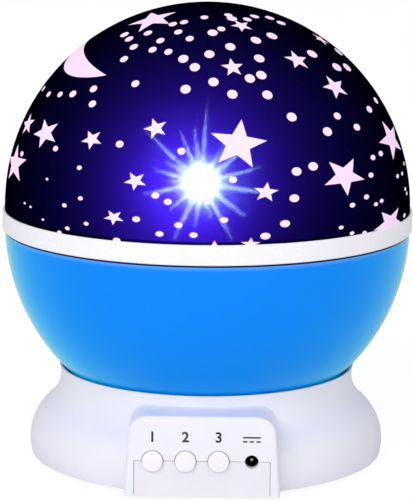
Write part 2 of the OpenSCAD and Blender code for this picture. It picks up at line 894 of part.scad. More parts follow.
// Conical springs on the cells' flat ends
module contact_springs() {
    turns = 3.5;
    steps = 12;
    wire_r = 0.32;
    gap_l = spring_l + 0.4;
    color("#aeb4bb")
    for (i = [0:cells - 1])
        let (at_back = i % 2 == 0,
            start = at_back ? box_back - contact_t : box_front + contact_t,
            way = at_back ? -1 : 1)
        sweep_tube([for (k = [0:turns * steps])
            let (t = k / turns / steps, r = 3.6 - 1.6 * t)
            [cell_x(i) + r * cos(k * 360 / steps), start + way * (wire_r + 0.03 + (gap_l - 0.1 - 2 * wire_r) * t),
                cell_z + way * r * sin(k * 360 / steps)]], wire_r, 6, [0, 1, 0]);
}

module battery_door() {
    rib = 1.2;
    color("#ecebf1")
    difference() {
        union() {
            translate([-door_x, door_ends[0], shell_z])
                cube([2 * door_x, door_ends[1] - door_ends[0], door_t]);
            difference() {
                translate([-box_x + 0.5, box_front + 0.5, shell_z])
                    cube([2 * box_x - 1, box_l - 1, floor_t + 0.2]);
                translate([-box_x + 0.5 + rib, box_front + 0.5 + rib, shell_z - 1])
                    cube([2 * (box_x - 0.5 - rib), box_l - 1 - 2 * rib, floor_t + 2]);
            }
        }
        for (y = door_screw_y)
            translate([0, y, shell_z - 1])
                cylinder(r = m3_hole + 0.2, h = 6, $fn = 32);
        // Room for the feet next to the door's ends
        at_turns(spread(4), foot_orbit)
            translate([0, 0, shell_z - 1])
                cylinder(r = foot_r + foot_room, h = floor_t + 2, $fn = 48);
    }
}

module door_screws() {
    color(steel)
    for (y = door_screw_y)
        translate([0, y, shell_z])
            screw(m3_head, 0.9, m3_shank, 6);
}

// ---------- wires ----------

module led_cable() {
    color("#dfe1e6")
    sweep_tube(led_cable_route, led_cable_r, 10, [1, 0, 0]);
}

module motor_leads() {
    color("#c23a34")
    sweep_tube(motor_lead_route, lead_r, 8, [0.3, 0.1, 1]);
}

module battery_leads() {
    color("#a8322c")
    for (x = [-1.5, 1.5] * cell_pitch)
        let (s = x < 0 ? -1 : 1)
        sweep_tube([[x, box_front, cell_z + 3], [x, box_front - 2.5, cell_z + 3],
            [x - s * 1.5, box_front - 5, cell_z + 3], [x - s * 4.5, box_front - 8, cell_z + 2.8],
            [x - s * 7.4, box_front - 10.8, cell_z + 2.2], [x - s * 8.4, box_front - 12.6, cell_z + 1.2],
            [x - s * 8.5, box_front - 13.5, cell_z], [x - s * 8.5, box_front - 13.5, board_top + 0.02]],
            lead_r, 8, [1, 0, 0.2]);
}

// ---------- lamp ----------

module led_holder() {
    seat_z = lamp_z - 0.6;
    color(plastic_white)
    difference() {
        union() {
            translate([0, 0, post_top - 9])
                tube(post_r + 2, post_r + running, 9.1);
            translate([0, 0, post_top])
                cylinder(r = lamp_board_r + 1.2, h = seat_z - 1 - post_top + 1);
            translate([0, 0, seat_z - eps])
                tube(lamp_board_r + 1.2, lamp_board_r + 0.3, 3);
            translate([0, 0, seat_z - eps])
                tube(lamp_board_r + 0.5, 7.4, 0.6);
        }
        translate([0, 0, post_top - 1])
            cylinder(r = post_bore, h = 10, $fn = 48);
        at_turns(lamp_screw_turns, lamp_screw_orbit)
            translate([0, 0, post_top - 1])
                cylinder(r = lamp_screw_r + 0.05, h = 10, $fn = 32);
    }
}

module led_board() {
    color("#f2f3f5")
    translate([0, 0, lamp_z])
        difference() {
            cylinder(r = lamp_board_r, h = lamp_board_t);
            at_turns(lamp_screw_turns, lamp_screw_orbit)
                translate([0, 0, -1])
                    cylinder(r = lamp_screw_r + 0.15, h = 4, $fn = 32);
        }
}

module led_board_screws() {
    color(steel)
    at_turns(lamp_screw_turns, lamp_screw_orbit)
        translate([0, 0, lamp_z + lamp_board_t])
            rotate([180, 0, 0])
                screw(1.2, 0.7, lamp_screw_r, 3);
}

// Clear 5 mm lamps, each with a rim and a round top
module led(i, shade) {
    color(shade)
    rotate([0, 0, 245 + 90 * i])
        translate([led_orbit, 0, lamp_z + lamp_board_t])
            rotate_extrude($fn = 48)
                polygon(concat([[0, 0], [led_r + 0.4, 0], [led_r + 0.4, 1], [led_r, 1]],
                    arc(0, 3.9, led_r, 0, 90, 8)));
}

// ---------- globe ----------

module bowl() {
    boss_turns = spread(deck_bosses, 90);
    color(plastic_blue)
    difference() {
        union() {
            intersection() {
                difference() {
                    translate([0, 0, bowl_z])
                        sphere(r = globe_r);
                    translate([0, 0, bowl_z])
                        sphere(r = globe_r - bowl_wall);
                }
                translate([0, 0, bowl_floor_z])
                    cylinder(r = globe_r + 5, h = rim_top - bowl_floor_z);
            }
            translate([0, 0, bowl_floor_z])
                cylinder(r = sqrt(pow(globe_r - 0.4, 2) - pow(bowl_z - bowl_floor_z, 2)), h = bowl_floor_t);
            // Spigot that centres the collar, with notches for its keys
            difference() {
                translate([0, 0, rim_top - 6])
                    tube(spigot_r, spigot_r - spigot_wall, spigot_top - rim_top + 6);
                at_turns(spread(keys, 30), spigot_r - spigot_wall - 2)
                    translate([0, -key_w / 2 - 0.2, collar_z - 0.02])
                        cube([spigot_wall + 4, key_w + 0.4, spigot_h + 2]);
            }
            translate([0, 0, hub_z])
                cylinder(r = hub_r, h = hub_top - hub_z);
            at_turns(spread(3), gear_screw_orbit)
                translate([0, 0, bowl_floor_z])
                    cylinder(r = 2.6, h = 7.5, $fn = 48);
            at_turns(boss_turns, 0)
                shell_boss(deck_boss_orbit, deck_boss_r, deck_z - deck_boss_h, deck_z, spigot_r - 0.4);
        }
        translate([0, 0, hub_z - 1])
            cylinder(r = bush_r, h = hub_top);
        at_turns(spread(3), gear_screw_orbit)
            translate([0, 0, bowl_floor_z - 1])
                cylinder(r = m2_hole, h = 7, $fn = 32);
        at_turns(boss_turns, deck_boss_orbit)
            translate([0, 0, deck_z - 8])
                cylinder(r = m2_hole, h = 10, $fn = 32);
    }
}

module bush(z, length, flange_z) {
    difference() {
        union() {
            translate([0, 0, z])
                cylinder(r = bush_r, h = length);
            translate([0, 0, flange_z])
                cylinder(r = bush_flange_r, h = bush_flange_t);
        }
        translate([0, 0, z - 5])
            cylinder(r = post_r + running, h = length + 10);
    }
}

module lower_bush() {
    color("#e9e3c8")
    bush(hub_z - bush_flange_t, lower_bush_l, hub_z - bush_flange_t);
}

module upper_bush() {
    color("#e9e3c8")
    bush(hub_top - upper_bush_l + bush_flange_t, upper_bush_l, hub_top);
}

module deck_plate() {
    color("#f4f4fa")
    difference() {
        translate([0, 0, deck_z])
            rotate_extrude($fn = 180)
                polygon([[deck_hole_r, deck_rise], [deck_hole_r, deck_rise + deck_t + 0.6],
                    [deck_hole_r + 1.2, deck_rise + deck_t + 0.6], [deck_hole_r + 1.2, deck_rise + deck_t],
                    [deck_boss_orbit - 6, deck_t], [deck_r, deck_t], [deck_r, 0], [deck_boss_orbit - 6, 0],
                    [deck_hole_r + 1.2, deck_rise]]);
        at_turns(spread(deck_bosses, 90), deck_boss_orbit)
            translate([0, 0, deck_z - 1])
                cylinder(r = m2_hole + 0.2, h = 6, $fn = 32);
    }
}

module deck_screws() {
    color(steel)
    at_turns(spread(deck_bosses, 90), deck_boss_orbit)
        translate([0, 0, deck_z + deck_t])
            rotate([180, 0, 0])
                screw(m2_head, m2_head_h, m2_shank, 7);
}

// ---------- dome ----------

module dome_shell() {
    skirt_z0 = collar_z + ledge_t + 0.1;
    color(dome_navy) {
        difference() {
            union() {
                intersection() {
                    translate([0, 0, dome_z])
                        sphere(r = globe_r);
                    translate([0, 0, dome_z])
                        cylinder(r = globe_r + 5, h = globe_r + 5);
                }
                translate([0, 0, skirt_z0])
                    cylinder(r = skirt_out, h = dome_z - skirt_z0 + 1);
            }
            translate([0, 0, dome_z])
                sphere(r = globe_r - dome_wall);
            translate([0, 0, skirt_z0 - 1])
                cylinder(r = skirt_in, h = dome_z - skirt_z0 + 1);
        }
    }
}

module collar() {
    color(plastic_white) {
        rotate_extrude($fn = 180)
            polygon([[skirt_in, collar_z], [collar_r - 0.3, collar_z], [collar_r, collar_z + 0.3],
                [collar_r, collar_top - 0.3], [collar_r - 0.25, collar_top], [globe_r + 0.05, collar_top],
                [globe_r + 0.05, collar_z + ledge_t], [skirt_in, collar_z + ledge_t]]);
        at_turns(spread(keys, 30), skirt_in)
            translate([-key_reach, -key_w / 2, collar_z])
                cube([key_reach + 0.5, key_w, ledge_t]);
    }
}

// ---------- the parts ----------

base_shell();
base_floor();
rubber_feet();
base_screws();
mechanism_plate();
plate_screws();
centre_post();
post_screws();
thrust_washer();
retaining_clip();
gear_pins();
motor_can();
motor_end_cap();
motor_shaft();
motor_pinion();
first_gear();
second_gear();
third_gear();
turntable_gear();
gear_screws();
control_board();
board_screws();
driver_chip();
filter_capacitor();
switch_bodies();
button(0);  // light_button
plunger(0);  // light_plunger
button(1);  // colour_button
plunger(1);  // colour_plunger
button(2);  // turn_button
plunger(2);  // turn_plunger
dc_jack_body();
dc_jack_pin();
led_holder();
led_board();
led_board_screws();
led(0, "#fff4dc");  // led_white
led(1, "#9fb8ff");  // led_blue
led(2, "#a8f0b4");  // led_green
led(3, "#ffaaa4");  // led_red
led_cable();
motor_leads();
battery_leads();
contact_plates();
contact_springs();
battery_cells();
battery_door();
door_screws();
bowl();
lower_bush();
upper_bush();
deck_plate();
deck_screws();
dome_shell();
collar();
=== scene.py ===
"""Looks of the star night light projector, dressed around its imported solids.

Metres, in the solids' own frame: +Z is up, the control panel faces -Y, and Z 0 is the table.
"""
import math

import bmesh
import bpy
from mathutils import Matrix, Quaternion, Vector


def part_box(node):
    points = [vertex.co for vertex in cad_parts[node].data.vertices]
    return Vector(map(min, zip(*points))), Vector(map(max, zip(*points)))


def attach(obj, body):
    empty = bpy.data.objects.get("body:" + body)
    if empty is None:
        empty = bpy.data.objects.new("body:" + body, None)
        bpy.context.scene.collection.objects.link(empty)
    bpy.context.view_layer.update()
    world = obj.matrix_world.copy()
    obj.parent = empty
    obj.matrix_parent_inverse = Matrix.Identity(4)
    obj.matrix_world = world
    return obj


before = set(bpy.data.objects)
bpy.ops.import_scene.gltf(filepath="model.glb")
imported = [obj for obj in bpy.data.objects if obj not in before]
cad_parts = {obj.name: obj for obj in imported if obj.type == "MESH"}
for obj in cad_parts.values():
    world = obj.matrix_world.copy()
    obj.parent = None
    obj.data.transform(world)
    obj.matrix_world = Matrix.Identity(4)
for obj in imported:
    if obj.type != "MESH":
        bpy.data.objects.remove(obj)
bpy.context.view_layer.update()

MM = 0.001

# ---------- sizes taken from the solids ----------

dome_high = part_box("dome_shell")[1]
dome_r = dome_high.x
dome_centre = Vector((0, 0, dome_high.z - dome_r))
collar_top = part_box("collar")[1].z
panel_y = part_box("base_shell")[0].y


def middle(node):
    low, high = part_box(node)
    return (low + high) / 2


# ---------- camera ----------

CAMERA_AT = Vector((0.0143, -0.7432, 0.2076))
CAMERA_AIM = Vector((-0.0002, 0.0, 0.0621))
CAMERA_LENS = 181.2
CAMERA_SENSOR = 36
CAMERA_ROLL = math.radians(0.4)


def place_camera():
    camera = bpy.data.objects.new("camera", bpy.data.cameras.new("camera"))
    camera.data.lens = CAMERA_LENS
    camera.data.sensor_width = CAMERA_SENSOR
    camera.location = CAMERA_AT
    camera.rotation_mode = "QUATERNION"
    looking = (CAMERA_AIM - CAMERA_AT).to_track_quat("-Z", "Y")
    camera.rotation_quaternion = looking @ Quaternion((0, 0, 1), CAMERA_ROLL)
    bpy.context.scene.collection.objects.link(camera)
    bpy.context.scene.camera = camera


place_camera()


# ---------- finishes ----------

def tone(red, green, blue):
    """A display colour, 0 to 255, as the linear colour that a shader takes."""
    def linear(value):
        value /= 255
        return value / 12.92 if value <= 0.04045 else ((value + 0.055) / 1.055) ** 2.4
    return (linear(red), linear(green), linear(blue), 1)


WHITE = (1, 1, 1, 1)


class Value:
    """A socket's output in an expression. Each operator adds the Math node that it stands for."""

    def __init__(self, finish, socket):
        self.finish = finish
        self.socket = socket

    def math(self, operation, *values):
        return self.finish.node("ShaderNodeMath", {"operation": operation}, dict(enumerate(values)))

    def __add__(self, other):
        return self.math("ADD", self, other)

    __radd__ = __add__

    def __sub__(self, other):
        return self.math("SUBTRACT", self, other)

    def __rsub__(self, other):
        return self.math("SUBTRACT", other, self)

    def __mul__(self, other):
        return self.math("MULTIPLY", self, other)

    __rmul__ = __mul__

    def __truediv__(self, other):
        return self.math("DIVIDE", self, other)

    def __rtruediv__(self, other):
        return self.math("DIVIDE", other, self)

    def __gt__(self, limit):
        return self.math("GREATER_THAN", self, limit)

    def sine(self):
        return self.math("SINE", self)

    def whole(self):
        return self.math("FLOOR", self)

    def root(self):
        return self.math("SQRT", self)

    def rise(self, low, high):
        """0 below low, 1 above high, and smooth in between."""
        return self.finish.node(
            "ShaderNodeMapRange", {"interpolation_type": "SMOOTHSTEP", "clamp": True},
            {"Value": self, "From Min": low, "From Max": high})


class Finish:
    """One finish, of a material or of the world: its nodes are added one call at a time."""

    def __init__(self, name, library=bpy.data.materials, output="ShaderNodeOutputMaterial"):
        self.owner = library.new(name)
        self.owner.use_nodes = True
        self.tree = self.owner.node_tree
        self.tree.nodes.clear()
        self.out = self.tree.nodes.new(output)

    def node(self, kind, settings=None, sockets=None, output=0):
        made = self.tree.nodes.new(kind)
        for name, value in (settings or {}).items():
            setattr(made, name, value)
        for name, value in (sockets or {}).items():
            if isinstance(value, Value):
                self.tree.links.new(value.socket, made.inputs[name])
            else:
                made.inputs[name].default_value = value
        return Value(self, made.outputs[output])

    def place(self):
        """Where a point lies on the piece, in metres."""
        return self.node("ShaderNodeTexCoord", output="Object")

    def along(self, axis):
        """How far a point lies along X, Y or Z, which are 0, 1 and 2."""
        return self.node("ShaderNodeSeparateXYZ", None, {0: self.place()}, axis)

    def noise(self, size, detail=2, stretch=(1, 1, 1), seed=0):
        """Noise with features of that size in metres, 0 to 1."""
        where = self.node(
            "ShaderNodeMapping", None,
            {"Vector": self.place(), "Location": (seed, seed * 0.7, -seed), "Scale": stretch})
        return self.node("ShaderNodeTexNoise", None, {"Vector": where, "Scale": 1 / size, "Detail": detail})

    def blend(self, share, first, second):
        """first where share is 0, second where it is 1."""
        return self.node("ShaderNodeMix", {"data_type": "RGBA"}, {0: share, 6: first, 7: second}, 2)

    def bump(self, height, depth):
        return self.node("ShaderNodeBump", None, {"Height": height, "Distance": depth, "Strength": 1})

    def surface(self, **sockets):
        """The main shader, with sockets named in lower case such as base_color."""
        named = {}
        for name, value in sockets.items():
            named[name.replace("_", " ").title().replace("Ior", "IOR")] = value
        return self.node("ShaderNodeBsdfPrincipled", None, named)

    def layered(self, share, first, second):
        """Two shaders on one piece, the second one over that share of it."""
        return self.node("ShaderNodeMixShader", None, {0: share, 1: first, 2: second})

    def done(self, shader):
        self.tree.links.new(shader.socket, self.out.inputs["Surface"])
        return self.owner


def shade(colour, share):
    """The colour at that share of its brightness."""
    return tuple(channel * share for channel in colour[:3]) + (1,)


def moulded(name, colour, roughness=0.34, gloss=0.35, texture=0.3 * MM, depth=0.004 * MM):
    """Moulded plastic: a slow drift of the colour, a fine cast texture and a little uneven sheen."""
    finish = Finish(name)
    drift = finish.noise(18 * MM, 3).rise(0.3, 0.7)
    speck = finish.noise(1.1 * MM, 2, seed=3)
    cast = finish.noise(texture, 3, seed=7)
    return finish.done(finish.surface(
        base_color=finish.blend(drift, colour, shade(colour, 0.965)),
        roughness=roughness + (speck - 0.5) * 0.12 + (drift - 0.5) * 0.05,
        specular_ior_level=gloss,
        normal=finish.bump(cast, depth)))


# Painted seam shadow: the spigot and the bowl's top just below the collar are drawn in this dark blue, as the
# gap under the collar would be in shade.
SPIGOT_SEAM_SHADOW = tone(0, 30, 96)
# Painted highlight: a paler band along the bowl's top edge, standing in for a rounded edge catching the
# light.
RIM_HIGHLIGHT_BLUE = tone(84, 160, 252)
BOWL_SHEEN = (0, 1, 1, 1)
SEAM_SHADOW_BELOW_COLLAR = 0.6 * MM
RIM_HIGHLIGHT_DEPTH = 1.4 * MM
# Painted shade: the bowl is drawn darker low down, fading out between these heights.
BOWL_LOW_SHADE_HEIGHTS = (26 * MM, 50 * MM)   # the heights between which its deeper low tone gives way
COAT_IOR = 1.2


def polished_bowl(name, colour):
    """The bowl: clear-coated blue, with painted shade low down, a painted highlight as a pale band at the
    rim, and a painted seam shadow: the spigot and the bowl's top edge under the collar are drawn dark matt
    blue.
    """
    finish = Finish(name)
    height = finish.along(2)
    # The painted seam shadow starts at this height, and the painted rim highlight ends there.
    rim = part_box("collar")[0].z - SEAM_SHADOW_BELOW_COLLAR
    drift = finish.noise(26 * MM, 3).rise(0.25, 0.75)
    wiped = finish.noise(2.4 * MM, 4, stretch=(1, 1, 9), seed=5)
    ripple = finish.noise(7 * MM, 2, seed=11)
    # Painted shade: the low part of the bowl is drawn darker.
    shaded_low_tone = finish.blend(drift, shade(colour, 0.86), shade(colour, 0.92))
    high_tone = finish.blend(drift, colour, shade(colour, 0.97))
    body = finish.blend(height.rise(*BOWL_LOW_SHADE_HEIGHTS), shaded_low_tone, high_tone)
    outside = finish.surface(
        # The pale band just under the rim is a painted highlight.
        base_color=finish.blend(height.rise(rim - RIM_HIGHLIGHT_DEPTH, rim), body, RIM_HIGHLIGHT_BLUE),
        roughness=0.24 + (wiped - 0.5) * 0.1,
        specular_ior_level=0,
        sheen_weight=1.0,
        sheen_roughness=0.45,
        sheen_tint=BOWL_SHEEN,
        normal=finish.bump(ripple, 0.006 * MM))
    shine = finish.surface(base_color=WHITE, metallic=1.0, roughness=0.06 + wiped * 0.04)
    coated = finish.layered(finish.node("ShaderNodeFresnel", None, {"IOR": COAT_IOR}), outside, shine)
    # Painted seam shadow: above that height the bowl is drawn dark matt blue.
    spigot_seam_shadow = finish.surface(
        base_color=finish.blend(drift, SPIGOT_SEAM_SHADOW, shade(SPIGOT_SEAM_SHADOW, 0.9)),
        roughness=0.6 + (wiped - 0.5) * 0.1,
        specular_ior_level=0.1)
    return finish.done(finish.layered(height > rim, coated, spigot_seam_shadow))


def metal(name, colour, roughness=0.3, brushed=(1, 1, 14)):
    """Metal with fine lines from machining or drawing, and tiny pits."""
    finish = Finish(name)
    lines = finish.noise(0.9 * MM, 4, stretch=brushed)
    pits = finish.noise(0.35 * MM, 2, seed=4)
    return finish.done(finish.surface(
        base_color=finish.blend(lines, shade(colour, 0.86), colour),
        metallic=1.0,
        roughness=roughness + (lines - 0.5) * 0.16,
        normal=finish.bump(lines + pits, 0.003 * MM)))


def rubber(name, colour):
    finish = Finish(name)
    grain = finish.noise(0.25 * MM, 3)
    dust = finish.noise(3 * MM, 3, seed=2).rise(0.5, 0.8)
    return finish.done(finish.surface(
        base_color=finish.blend(dust * 0.5, colour, shade(colour, 1.35)),
        roughness=0.82 - (grain - 0.5) * 0.1,
        specular_ior_level=0.3,
        normal=finish.bump(grain, 0.02 * MM)))


TRACK_PITCH = 1.27 * MM


def solder_mask(name, mask, copper):
    """Circuit board: straight copper tracks under the lacquer, a track pitch apart."""
    finish = Finish(name)
    across = (finish.along(0) * (2 * math.pi / TRACK_PITCH)).sine()
    lanes = finish.noise(4 * MM, 0, stretch=(1, 0.15, 1), seed=9)
    tracks = (across > 0.55) * (lanes > 0.5)
    grain = finish.noise(0.5 * MM, 3)
    return finish.done(finish.surface(
        base_color=finish.blend(tracks * 0.6 + grain * 0.08, mask, copper),
        roughness=0.36 + grain * 0.1,
        specular_ior_level=0.5,
        normal=finish.bump(tracks, 0.03 * MM)))


CELL_END = 1.6 * MM
CELL_BLACK_SHARE = 0.68


def cell_jacket(name):
    """A plain battery jacket, part black and part ochre along the cell, with bright ends."""
    finish = Finish(name)
    low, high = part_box("battery_cells")
    along = finish.along(1)
    from_end = along.math("MINIMUM", along - low.y, high.y - along)
    bright = 1 - (from_end > CELL_END)
    band = along > low.y + CELL_BLACK_SHARE * (high.y - low.y)
    scuff = finish.noise(1.5 * MM, 4, stretch=(1, 6, 1))
    jacket = finish.blend(band, tone(30, 30, 34), tone(196, 142, 62))
    return finish.done(finish.surface(
        base_color=finish.blend(bright, jacket, tone(205, 207, 212)),
        metallic=0.25 + bright * 0.75,
        roughness=0.3 + scuff * 0.14,
        normal=finish.bump(scuff, 0.01 * MM)))


def insulation(name, colour):
    """Soft wire covering, slightly wavy and satin."""
    finish = Finish(name)
    wave = finish.noise(1.3 * MM, 3)
    return finish.done(finish.surface(
        base_color=finish.blend(wave, shade(colour, 0.88), colour),
        roughness=0.5 + (wave - 0.5) * 0.15,
        specular_ior_level=0.4,
        normal=finish.bump(wave, 0.03 * MM)))


LAMP_GLOW = 12.0
RESIN_CLEAR = 0.6


def clear_lamp(name, tint, glow=0.0):
    """A clear 5 mm lamp of cast resin, which its chip shines through; the lit one glows."""
    finish = Finish(name)
    flow = finish.noise(2 * MM, 2)
    resin = finish.surface(
        base_color=finish.blend(flow, tint, shade(tint, 0.93)),
        roughness=0.06 + flow * 0.05,
        transmission_weight=0.85,
        emission_color=finish.blend(flow, tint, shade(tint, 0.97)),
        emission_strength=glow)
    return finish.done(finish.layered(RESIN_CLEAR, resin, finish.node("ShaderNodeBsdfTransparent")))


# The print inside the dome is a dark ink that spreads the lamp's light wide, mostly one way, and a
# thin one that keeps it close. The plastic over them is clear.
INK_TINT = (0.0105, 0.0025, 0.156, 1)
INK_HAZE = 0.78
INK_WAY = 230
INK_LEAN = 0.27
THIN_TINT = (0.0165, 0.026, 0.028, 1)
THIN_HAZE = 0.38
THIN_SHARE = 0.5
CLEAR_TINT = (0.925, 0.925, 0.925, 1)
CLEAR_HAZE = 0.06
HAZE_DRIFT = 0.04
DOME_IOR = 1.5
PRINT_DEPTH = 0.3 * MM

# The way each of the lamp's rays goes, in degrees from the right, and its length.
RAYS = [
    (12, 0.95), (37, 1.0), (60, 0.65), (87, 1.1), (98, 0.8), (113, 0.8),
    (140, 1.15), (152, 0.65), (168, 0.8), (181, 0.55), (196, 1.05), (223, 0.7),
    (245, 1.0), (263, 0.7), (285, 0.6), (298, 1.0), (321, 0.9), (348, 1.2),
]
RAYS_PER_KIND = 3           # how many rays one kind of groove draws out
RAY_STEPS = 14              # each ray is a row of so many lobes of light
RAY_CROWDING = 0.8          # below 1, they lie closer together towards its end
RAY_LEAN = (0.15, 0.7)      # how far the groove leans for the first lobe and for the last
RAY_HAZE = (0.13, 0.068)    # how wide those two are
RAY_SHARE = 0.0039          # how bright the first is
RAY_DECAY = 0.034           # what is left of that at the end, before the ray is tapered too
RAY_TAPER = 0.85
RAY_TONE = (0.58, 0.86, 1)


def between(ends, share):
    """The value that lies that share of the way from the first end to the second."""
    return ends[0] + (ends[1] - ends[0]) * share


def picked(place, values):
    """The value that stands at that place in the list."""
    chosen = values[0]
    for k in range(1, len(values)):
        chosen = chosen + (place > k - 0.5) * (values[k] - values[k - 1])
    return chosen


def draws_out(finish, right, up):
    """The way a groove leans to draw the lamp's light out that far right and up: left and down."""
    x, y = finish.along(0), finish.along(1)
    leftward = right / (x * x + y * y).root()
    return finish.node(
        "ShaderNodeCombineXYZ", None, {0: y * leftward, 1: x * leftward * -1, 2: -1 * up})


def leant(finish, normal, direction, lean):
    """A normal leant over in that direction."""
    leaning = finish.node(
        "ShaderNodeVectorMath", {"operation": "MULTIPLY_ADD"},
        {0: direction, 1: (lean, lean, lean), 2: normal})
    return finish.node("ShaderNodeVectorMath", {"operation": "NORMALIZE"}, {0: leaning})


def film_lobe(finish, spread, tint, roughness, normal):
    """One of the ways in which the dome lets light through."""
    return finish.node("ShaderNodeBsdfRefraction", {"distribution": spread}, {
        "Color": tint,
        "Roughness": roughness,
        "IOR": DOME_IOR,
        "Normal": normal})


def lamp_rays(finish):
    """Fine grooves in the print that draw the lamp out into rays: one kind of groove at any one spot."""
    kinds = len(RAYS) // RAYS_PER_KIND
    surface_normal = finish.node("ShaderNodeNewGeometry", output=1)
    spot = finish.node("ShaderNodeTexWhiteNoise", {"noise_dimensions": "3D"}, {"Vector": finish.place()})
    kind = (spot * kinds).whole()
    rays = []
    for first in range(RAYS_PER_KIND):
        own = RAYS[first::RAYS_PER_KIND]
        way = draws_out(
            finish,
            picked(kind, [length * math.cos(math.radians(turn)) for turn, length in own]),
            picked(kind, [length * math.sin(math.radians(turn)) for turn, length in own]))
        for step in range(RAY_STEPS):
            along_ray = (step / (RAY_STEPS - 1)) ** RAY_CROWDING
            brightness = RAY_SHARE * RAY_DECAY ** along_ray * (1 - RAY_TAPER * along_ray)
            rays.append(film_lobe(
                finish, "BECKMANN", shade(RAY_TONE, brightness), between(RAY_HAZE, along_ray),
                leant(finish, surface_normal, way, between(RAY_LEAN, along_ray))))
    return rays


def dome_film(name):
    """The dome: smooth outside, and printed deep blue inside with an ink that spreads the lamp's light."""
    finish = Finish(name)
    flow = finish.noise(9 * MM, 3)
    haze = finish.noise(0.8 * MM, 3, seed=6)
    from_centre = finish.node(
        "ShaderNodeVectorMath", {"operation": "DISTANCE"}, {0: finish.place(), 1: dome_centre}, 1)
    fine = finish.bump(haze, 0.003 * MM)
    ink_way = math.radians(INK_WAY)
    one_way = leant(finish, fine, draws_out(finish, math.cos(ink_way), math.sin(ink_way)), INK_LEAN)
    drift = (flow - 0.5) * HAZE_DRIFT
    ink = film_lobe(finish, "GGX", INK_TINT, INK_HAZE + drift, one_way)
    thin = film_lobe(finish, "BECKMANN", THIN_TINT, THIN_HAZE + drift, fine)
    plastic = film_lobe(finish, "GGX", CLEAR_TINT, CLEAR_HAZE + drift, fine)
    printed = finish.layered(THIN_SHARE, ink, thin)
    for ray in lamp_rays(finish):
        printed = finish.node("ShaderNodeAddShader", None, {0: printed, 1: ray})
    return finish.done(finish.layered(from_centre > dome_r - PRINT_DEPTH, printed, plastic))


def sky_ink_painted_glow(name):
    """The clear pattern of the print: pale rose white, with a painted glow that stands in for the lamp
    lighting it from behind.
    """
    finish = Finish(name)
    flow = finish.noise(1.2 * MM, 3)
    ink = finish.blend(flow, tone(236, 208, 236), tone(228, 200, 231))
    return finish.done(finish.surface(
        base_color=ink,
        roughness=0.5 + (flow - 0.5) * 0.1,
        specular_ior_level=0.1,
        # Painted glow: the print gives off its own light, in place of the lamp shining through it.
        emission_color=ink,
        emission_strength=0.3))


def panel_ink(name):
    finish = Finish(name)
    flow = finish.noise(0.4 * MM, 3)
    return finish.done(finish.surface(
        base_color=finish.blend(flow, tone(22, 20, 28), tone(34, 31, 40)),
        roughness=0.55 + (flow - 0.5) * 0.2))


SHELL_WHITE = tone(240, 238, 247)
BOWL_BLUE = tone(6, 134, 252)

white_shell = moulded("white_shell", SHELL_WHITE)
lower_white = moulded("lower_white", tone(236, 232, 241))
collar_white = moulded("collar_white", tone(246, 245, 250), 0.3, 0.3)
button_white = moulded("button_white", tone(249, 243, 250), 0.25, 0.45, 0.5 * MM, 0.002 * MM)
inner_white = moulded("inner_white", tone(222, 224, 230), 0.5, 0.3)
post_grey = moulded("post_grey", tone(212, 214, 222), 0.45, 0.3)
deck_navy = moulded("deck_navy", tone(26, 22, 74), 0.8, 0)
bowl_blue = polished_bowl("bowl_blue", BOWL_BLUE)
gear_ivory = moulded("gear_ivory", tone(240, 236, 220), 0.42, 0.4)
bush_ivory = moulded("bush_ivory", tone(231, 224, 198), 0.38, 0.4)
black_resin = moulded("black_resin", tone(30, 30, 34), 0.4, 0.45)
switch_grey = moulded("switch_grey", tone(58, 60, 68), 0.45, 0.4)
capacitor_blue = moulded("capacitor_blue", tone(34, 44, 84), 0.25, 0.5)
bright_steel = metal("bright_steel", tone(196, 198, 203))
ground_steel = metal("ground_steel", tone(184, 187, 193), 0.22, (12, 12, 1))
spring_nickel = metal("spring_nickel", tone(188, 190, 194), 0.26, (6, 1, 6))
cut_brass = metal("cut_brass", tone(212, 176, 92), 0.26)
plated_pin = metal("plated_pin", tone(206, 190, 150), 0.2)

NODE_FINISHES = [
    (white_shell, ["base_shell"]),
    (lower_white, ["base_floor", "battery_door"]),
    (collar_white, ["collar"]),
    (bowl_blue, ["bowl"]),
    (dome_film("dome_film"), ["dome_shell"]),
    (button_white, ["light_button", "colour_button", "turn_button"]),
    (inner_white, ["mechanism_plate"]),
    (post_grey, ["centre_post"]),
    (deck_navy, ["deck_plate", "led_holder"]),
    (rubber("foot_rubber", tone(92, 95, 102)), ["rubber_feet"]),
    (bright_steel, ["base_screws", "plate_screws", "post_screws", "thrust_washer", "motor_can", "gear_screws",
                    "board_screws", "led_board_screws", "door_screws", "deck_screws"]),
    (ground_steel, ["gear_pins", "motor_shaft"]),
    (spring_nickel, ["retaining_clip", "contact_plates", "contact_springs"]),
    (cut_brass, ["motor_pinion"]),
    (plated_pin, ["dc_jack_pin"]),
    (gear_ivory, ["first_gear", "second_gear", "third_gear", "turntable_gear"]),
    (bush_ivory, ["lower_bush", "upper_bush"]),
    (black_resin, ["motor_end_cap", "driver_chip", "dc_jack_body", "light_plunger", "colour_plunger",
                   "turn_plunger"]),
    (switch_grey, ["switch_bodies"]),
    (capacitor_blue, ["filter_capacitor"]),
    (solder_mask("board_green", tone(38, 122, 74), tone(92, 160, 84)), ["control_board"]),
    (solder_mask("board_white", tone(238, 240, 242), tone(214, 212, 200)), ["led_board"]),
    (cell_jacket("cell_jacket"), ["battery_cells"]),
    (insulation("grey_insulation", tone(206, 208, 212)), ["led_cable"]),
    (insulation("red_insulation", tone(186, 44, 36)), ["motor_leads", "battery_leads"]),
    (clear_lamp("lit_lamp", tone(250, 248, 240), LAMP_GLOW), ["led_white"]),
    (clear_lamp("blue_lamp", tone(176, 198, 255)), ["led_blue"]),
    (clear_lamp("green_lamp", tone(186, 246, 196)), ["led_green"]),
    (clear_lamp("red_lamp", tone(255, 190, 184)), ["led_red"]),
]
